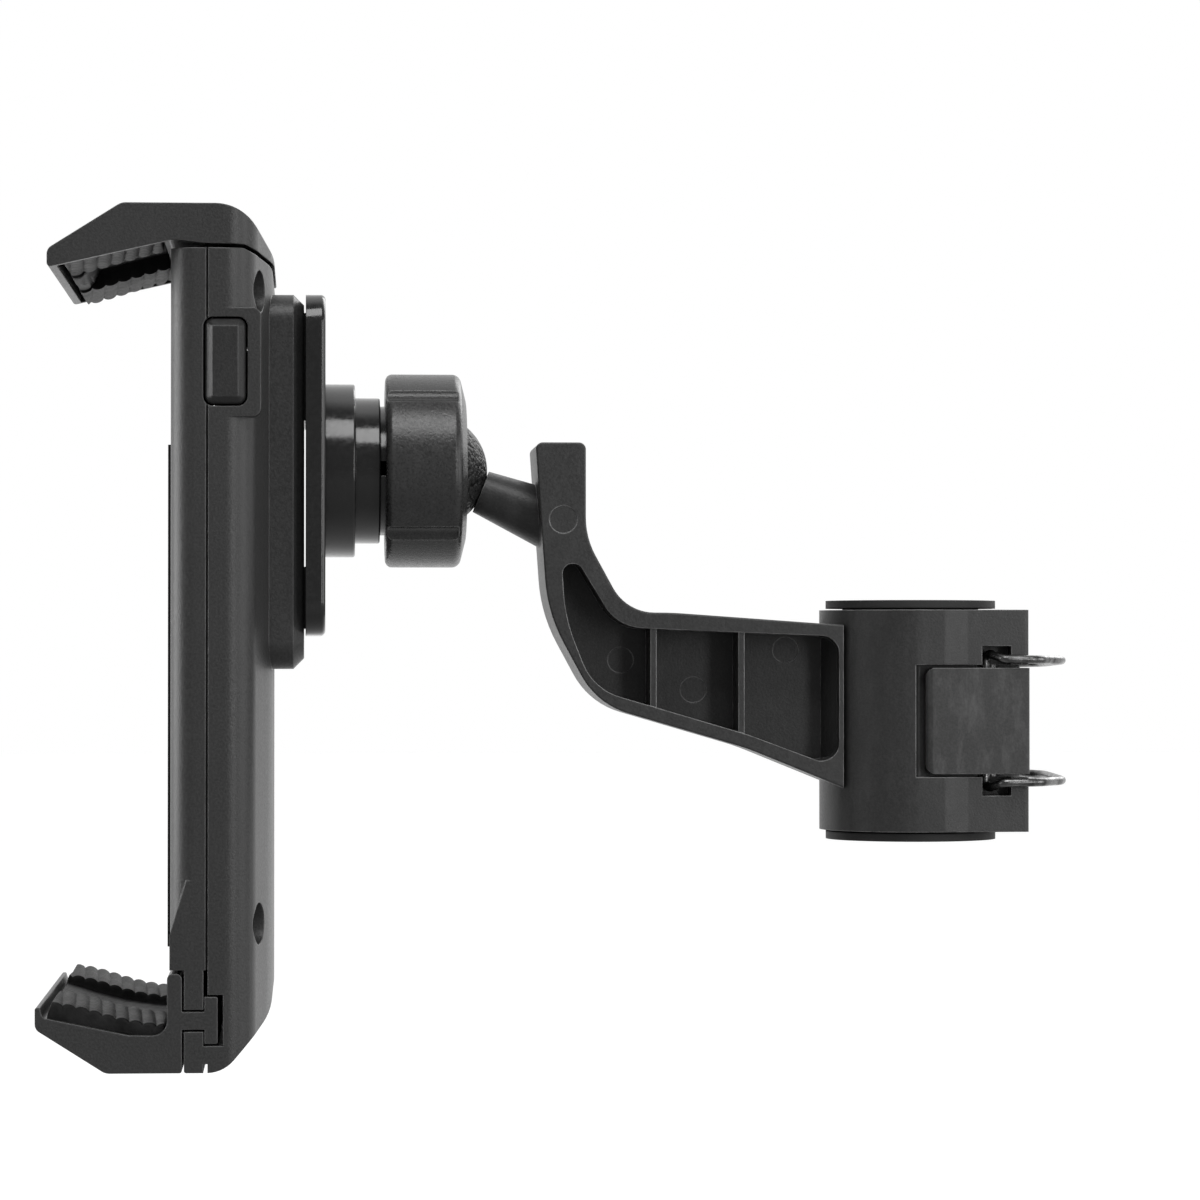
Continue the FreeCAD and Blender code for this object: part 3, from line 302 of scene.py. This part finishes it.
def roughBall(name, look):
    # Pebbled like leather: cells with soft borders, on a slower swell. Height is 1 less the
    # distance to a cell's middle, plus the swell. The high places are painted pale as lit and the
    # hollows dark as painted shade.
    finish = Finish(name)
    cells = finish.make("TexVoronoi", {"feature": "SMOOTH_F1"}, {
        "Vector": finish.where(), "Scale": look["cells"], "Smoothness": look["border"],
        "Randomness": 1.0})
    swell = finish.noise(look["cells"] / 2, 4, 0.65)
    height = 1 - cells * look["dent"] + swell * look["swell"]
    # painted light: pale on the high places, painted shade in the hollows
    lit = finish.ramp(height, look["lit"])
    colour = finish.tint(lit, grey(look["dark"]), grey(look["pale"]))
    rough = (height - 1) * look["vary"] + look["rough"]
    normal = finish.bump(height, look["depth"])
    return finish.close(colour, rough, normal, Specular_IOR_Level=look["shine"])


drawn = {"streak": 900, "patch": 450, "dull": (0.38, 0.66), "vary": 0.16, "depth": 0.006}
steelLooks = {  # along stretches the streaks
    "wire": {"pale": 0.24, "dark": 0.07, "rough": 0.3, "along": (1, 1, 1)},
    "pin": {"pale": 0.3, "dark": 0.14, "rough": 0.35, "along": (1, 1, 0.1)},
}


def steel(name, look):
    # Drawn metal: fine lengthwise streaks and a few darker patches, both also in roughness.
    finish = Finish(name)
    streak = finish.noise(drawn["streak"], 3, 0.6, finish.where(look["along"]))
    patch = finish.noise(drawn["patch"], 4, 0.65)
    dull = finish.ramp(patch, drawn["dull"])
    colour = finish.tint(dull, grey(look["pale"]), grey(look["dark"]))
    rough = (streak - 0.5) * drawn["vary"] + (patch - 0.5) * drawn["vary"] + look["rough"]
    normal = finish.bump(streak + patch, drawn["depth"])
    return finish.close(colour, rough, normal, Metallic=1.0)


screwLook = {  # the screws' centres are across from Y = 0 and apart from the middle height
    "pale": 0.16, "dark": 0.08, "hole": 0.004, "rough": 0.34, "patch": 600,
    "across": 33.6, "middle": 19.75, "apart": 53.75, "width": 0.8, "reach": 1.5,
    "patchRough": 0.2, "holeRough": 0.3, "patchHeight": 0.05, "depth": 0.3,
}


def screwSteel(name, look):
    # Blackened heads with a cross sunk in them: it lies where the smaller of the two distances
    # from the nearest screw's centre is under half its width, and the larger under its reach.
    finish = Finish(name)
    x, y, z = finish.split(finish.where())
    beside = abs(abs(y) - look["across"] * mm)
    above = abs(abs(z - look["middle"] * mm) - look["apart"] * mm)
    narrow = beside.least(above) < look["width"] / 2 * mm
    cross = narrow * (beside.most(above) < look["reach"] * mm)
    patch = finish.noise(look["patch"], 4, 0.65)
    colour = finish.tint(patch, grey(look["dark"]), grey(look["pale"]))
    # painted shade: the sunk cross is painted near black, as the shade inside its recess
    colour = finish.tint(cross, colour, grey(look["hole"]))
    rough = patch * look["patchRough"] + cross * look["holeRough"] + look["rough"]
    normal = finish.bump(patch * look["patchHeight"] - cross, look["depth"])
    return finish.close(colour, rough, normal, Metallic=1.0)


finishes = {name: mouldedPlastic(name + "Plastic", look) for name, look in plasticLooks.items()}
finishes.update({name: rubber(name + "Rubber", look) for name, look in rubberLooks.items()})
finishes.update({name: steel(name + "Steel", look) for name, look in steelLooks.items()})
finishes["ball"] = roughBall("ballSkin", ballLook)
finishes["screw"] = screwSteel("screwSteel", screwLook)

slots = {entry["node"]: entry["material_slot"] for entry in frame["record"]["subparts"]}
for name, part in parts.items():
    part.data.materials.clear()
    part.data.materials.append(finishes[slots[name]])
print("finishes made:", len(finishes))


# Smooth shading for the round faces

smoothing = {"merge": 0.001, "angle": 28}


def smoothByAngle():
    # Points in one place are joined, every face is shaded smooth, and an edge stays sharp where
    # its faces meet at more than the angle.
    tree = bpy.data.node_groups.new("smoothByAngle", "GeometryNodeTree")
    for way in ("INPUT", "OUTPUT"):
        tree.interface.new_socket("Geometry", in_out=way, socket_type="NodeSocketGeometry")
    kinds = ("NodeGroupInput", "GeometryNodeMergeByDistance", "GeometryNodeRemoveAttribute",
             "GeometryNodeSetShadeSmooth", "GeometryNodeSetShadeSmooth", "NodeGroupOutput")
    chain = [tree.nodes.new(kind) for kind in kinds]
    for before, after in zip(chain, chain[1:]):
        tree.links.new(before.outputs[0], after.inputs[0])
    group, merge, forget, faces, edges, result = chain
    merge.inputs["Distance"].default_value = smoothing["merge"] * mm
    forget.inputs["Name"].default_value = "custom_normal"
    edges.domain = "EDGE"
    turn = tree.nodes.new("GeometryNodeInputMeshEdgeAngle")
    below = tree.nodes.new("FunctionNodeCompare")
    below.operation = "LESS_THAN"
    below.inputs[1].default_value = math.radians(smoothing["angle"])
    tree.links.new(turn.outputs[0], below.inputs[0])
    tree.links.new(below.outputs[0], edges.inputs["Shade Smooth"])
    return tree


smoothTree = smoothByAngle()
for part in parts.values():
    part.modifiers.new("smooth", "NODES").node_group = smoothTree
    part.modifiers.new("weighted", "WEIGHTED_NORMAL").keep_sharp = True
print("round faces shaded smooth")


# Ribbed rubber pads: one piece to a jaw, with a band of ribs on each side of a web

padShapes = {  # floor goes from the tip to the shell; web, near and far are heights along it
    "lower": {"floor": [(-151.75, -49.4), (-132.2, -52.7)], "up": 1, "pitch": 2.28,
              "slant": -0.05, "nearCrest": -149.1, "farCrest": -148.0,
              "near": [2.8, 2.85, 2.75, 2.35, 2.05, 1.95, 1.95, 2.2],
              "far": [3.6, 3.65, 3.45, 3.05, 2.7, 2.55, 2.6, 2.75],
              "web": [2.0, 1.7, 1.3, 1.0, 0.8, 0.8, 0.9, 1.1]},
    "upper": {"floor": [(-150.1, 80.0), (-133.3, 84.45)], "up": -1, "pitch": 2.38,
              "slant": -0.06, "nearCrest": -145.66, "farCrest": -147.2,
              "near": [2.6, 2.55, 2.5, 2.45, 2.4, 2.35, 2.35, 2.35],
              "far": [3.45, 3.45, 3.4, 3.3, 3.2, 3.15, 3.1, 3.05],
              "web": [3.0, 3.0, 0.3, 0.3, 0.3, 0.3, 0.3, 0.3]},
}
padWidth = {"inner": 12.4, "outer": 38.4, "groove": 0.6, "edge": 0.3, "end": 0.45,
            "foot": 0.45, "thickWeb": 2.2, "crease": 55}
padRows = {"edge": (0, 0.03, 0.1, 0.2, 0.3), "band": (13.6, 37.2, 12), "web": (-12.3, 12.3, 9),
           "spacing": 0.18}


def eased(distance, radius):
    # a quarter circle: the square root of 1 - (1 - distance / radius) squared, then 1
    return np.sqrt(1 - (1 - np.clip(distance / radius, 0.02, 1)) ** 2)


def ringSolid(name, rings, material, crease):
    # A closed solid from rings of points: quads from each ring to the next, and across each end
    # ring from its first half to its second. Edges that turn by more than the crease are sharp.
    count, around = rings.shape[:2]
    index = np.arange(count * around).reshape(count, around)
    ahead = np.roll(index, -1, axis=1)
    quads = np.stack([index[:-1], ahead[:-1], ahead[1:], index[1:]], axis=-1).reshape(-1, 4)
    half = np.arange(around // 2 - 1)
    back = around - 1 - half
    caps = [np.stack([ring[half], ring[half + 1], ring[back - 1], ring[back]], axis=-1)
            for ring in (index[0], index[-1, ::-1])]
    mesh = bpy.data.meshes.new(name)
    mesh.from_pydata(rings.reshape(-1, 3).tolist(), [], np.concatenate([quads, *caps]).tolist())
    work = bmesh.new()
    work.from_mesh(mesh)
    bmesh.ops.recalc_face_normals(work, faces=work.faces)
    work.to_mesh(mesh)
    work.free()
    mesh.materials.append(material)
    mesh.shade_smooth()
    mesh.set_sharp_from_angle(angle=math.radians(crease))
    piece = bpy.data.objects.new(name, mesh)
    scene.collection.objects.link(piece)
    return piece


def ribbedPad(name, shape):
    # A height over the floor at each place along and across. In a band it is the band's height
    # less groove times (1 - the root of a cosine's size), so the ribs are round and the grooves
    # sharp. The cosine's phase slides with Y, as the ribs lie a little askew. Between the bands
    # it is the web, ribbed where that is thick, and it falls round at every edge.
    wide, rows = padWidth, padRows
    start, end = np.array(shape["floor"])
    length = np.hypot(*(end - start))
    along = (end - start) / length
    lift = np.array([-along[1], along[0]]) * shape["up"]
    edge = np.array(rows["edge"])
    ribbed = np.linspace(*rows["band"])
    band = np.concatenate([wide["inner"] + edge, ribbed, wide["outer"] - edge[::-1]])
    across = np.concatenate([-band[::-1], np.linspace(*rows["web"]), band])[:, None]
    u = np.linspace(0, 1, round(length / rows["spacing"]))[None]
    x = start[0] + (end - start)[0] * u
    crest = np.where(across < 0, shape["nearCrest"], shape["farCrest"])
    middle = np.sign(across) * (wide["inner"] + wide["outer"]) / 2
    phase = (x - crest - shape["slant"] * (across - middle)) / shape["pitch"]
    sunk = wide["groove"] * (1 - np.sqrt(np.abs(np.cos(math.pi * phase))))
    stations = np.linspace(0, 1, len(shape["web"]))
    near, far, web = (np.interp(u, stations, shape[key]) for key in ("near", "far", "web"))
    inside = np.abs(across) - wide["inner"]
    ribs = np.where(across < 0, near, far) - sunk
    web = web - sunk * (web > wide["thickWeb"])
    height = np.where(inside < 0, web, web + (ribs - web) * eased(inside, wide["edge"]))
    height = height * eased(wide["outer"] - np.abs(across), wide["edge"])
    height = height * eased(np.minimum(u, 1 - u) * length, wide["end"])
    line = start + u[0][:, None] * (end - start)
    top = line[None] + height[..., None] * lift
    base = np.broadcast_to(line[::-1] - wide["foot"] * lift, top.shape)
    section = np.concatenate([top, base], axis=1)
    depth = np.broadcast_to(across, section.shape[:2])
    rings = np.stack([section[..., 0], depth, section[..., 1]], axis=-1) * mm
    return ringSolid(name, rings, finishes["pad"], wide["crease"])


for level, shape in padShapes.items():
    pad = ribbedPad(level + "Pad", shape)
    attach(pad, level + "_jaw")
    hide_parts(level + "_pad_near", level + "_pad_far")
print("jaw pads made")


# Floor and light

studio = {  # floor is its height; front, behind, floorSize and aim are in metres
    "floor": -150, "floorSize": 12, "paint": 0.32, "darkPaint": 0.03, "rough": 0.8,
    "ambient": 0.44, "dim": 0.15, "glow": 0.8, "front": -0.15, "behind": 0.3,
    "aim": (-0.06, 0, 0.02),
}
lamps = {  # place in metres, width and height in metres, and watts
    "topLight": ((-0.05, -0.62, 0.95), (0.7, 0.5), 5.4),
    "leftLight": ((-1.1, 0.05, 0.1), (0.8, 0.8), 9.0),
    "stripLight": ((0.45, -1.0, 0.05), (0.16, 1.1), 3.7),
    "rightLight": ((1.0, -0.5, 0.1), (0.7, 1.0), 4.2),
    "rearLight": ((0.6, 0.8, 0.7), (0.8, 0.8), 6.0),
}


def backdropSeen(finish):
    # 1 where the camera sees it, and 1 where a reflection does; both 0 for light on the object
    path = finish.make("LightPath").socket.node
    kinds = ("Camera", "Glossy", "Transmission")
    direct, glossy, through = [Signal(finish, path.outputs[f"Is {kind} Ray"]) for kind in kinds]
    return direct, glossy.most(through)


def room(finish, along):
    # what a reflection sees: the dimmer room in front of the object, rising to white behind it
    return finish.make("MapRange", {"interpolation_type": "SMOOTHSTEP"}, {
        "Value": along, "From Min": studio["front"], "From Max": studio["behind"],
        "To Min": studio["dim"], "To Max": 1.0})


def paleFloor():
    # White to the camera where the light is plain, and darker in the object's shadow.
    bpy.ops.mesh.primitive_plane_add(size=studio["floorSize"],
                                     location=(0, 0, studio["floor"] * mm))
    floor = bpy.context.object
    floor.name = "floor"
    finish = Finish("paleFloor")
    direct, mirror = backdropSeen(finish)
    seen = room(finish, finish.split(finish.where())[1])
    colour = finish.tint(mirror * (1 - seen), grey(studio["paint"]), grey(studio["darkPaint"]))
    paint = finish.make("BsdfPrincipled", None, {
        "Base Color": colour, "Roughness": studio["rough"]})
    glow = finish.make("Emission", None, {
        "Color": grey(1), "Strength": (direct + mirror * seen) * studio["glow"]})
    both = finish.make("AddShader", None, {0: paint, 1: glow})
    finish.make("OutputMaterial", None, {"Surface": both})
    floor.data.materials.append(finish.material)


def softbox(name, place, size, power):
    # a rectangle of light that faces the aim
    lamp = bpy.data.lights.new(name, "AREA")
    lamp.shape, lamp.size, lamp.size_y, lamp.energy = "RECTANGLE", size[0], size[1], power
    box = bpy.data.objects.new(name, lamp)
    box.location = place
    towards = Vector(studio["aim"]) - Vector(place)
    box.rotation_euler = towards.to_track_quat("-Z", "Y").to_euler()
    scene.collection.objects.link(box)


def paleWorld():
    # The camera sees white. Reflections see white behind the object and a dimmer room in front.
    finish = Finish("studio", "worlds")
    direct, mirror = backdropSeen(finish)
    depth = finish.split(finish.make("TexCoord", out="Generated"))[1]
    lit = mirror * room(finish, depth) + (1 - mirror) * studio["ambient"]
    level = direct + (1 - direct) * lit
    backdrop = finish.make("Background", None, {"Color": grey(1), "Strength": level})
    finish.make("OutputWorld", None, {"Surface": backdrop})
    scene.world = finish.material


paleFloor()
for name, (place, size, power) in lamps.items():
    softbox(name, place, size, power)
paleWorld()
print("studio lit")
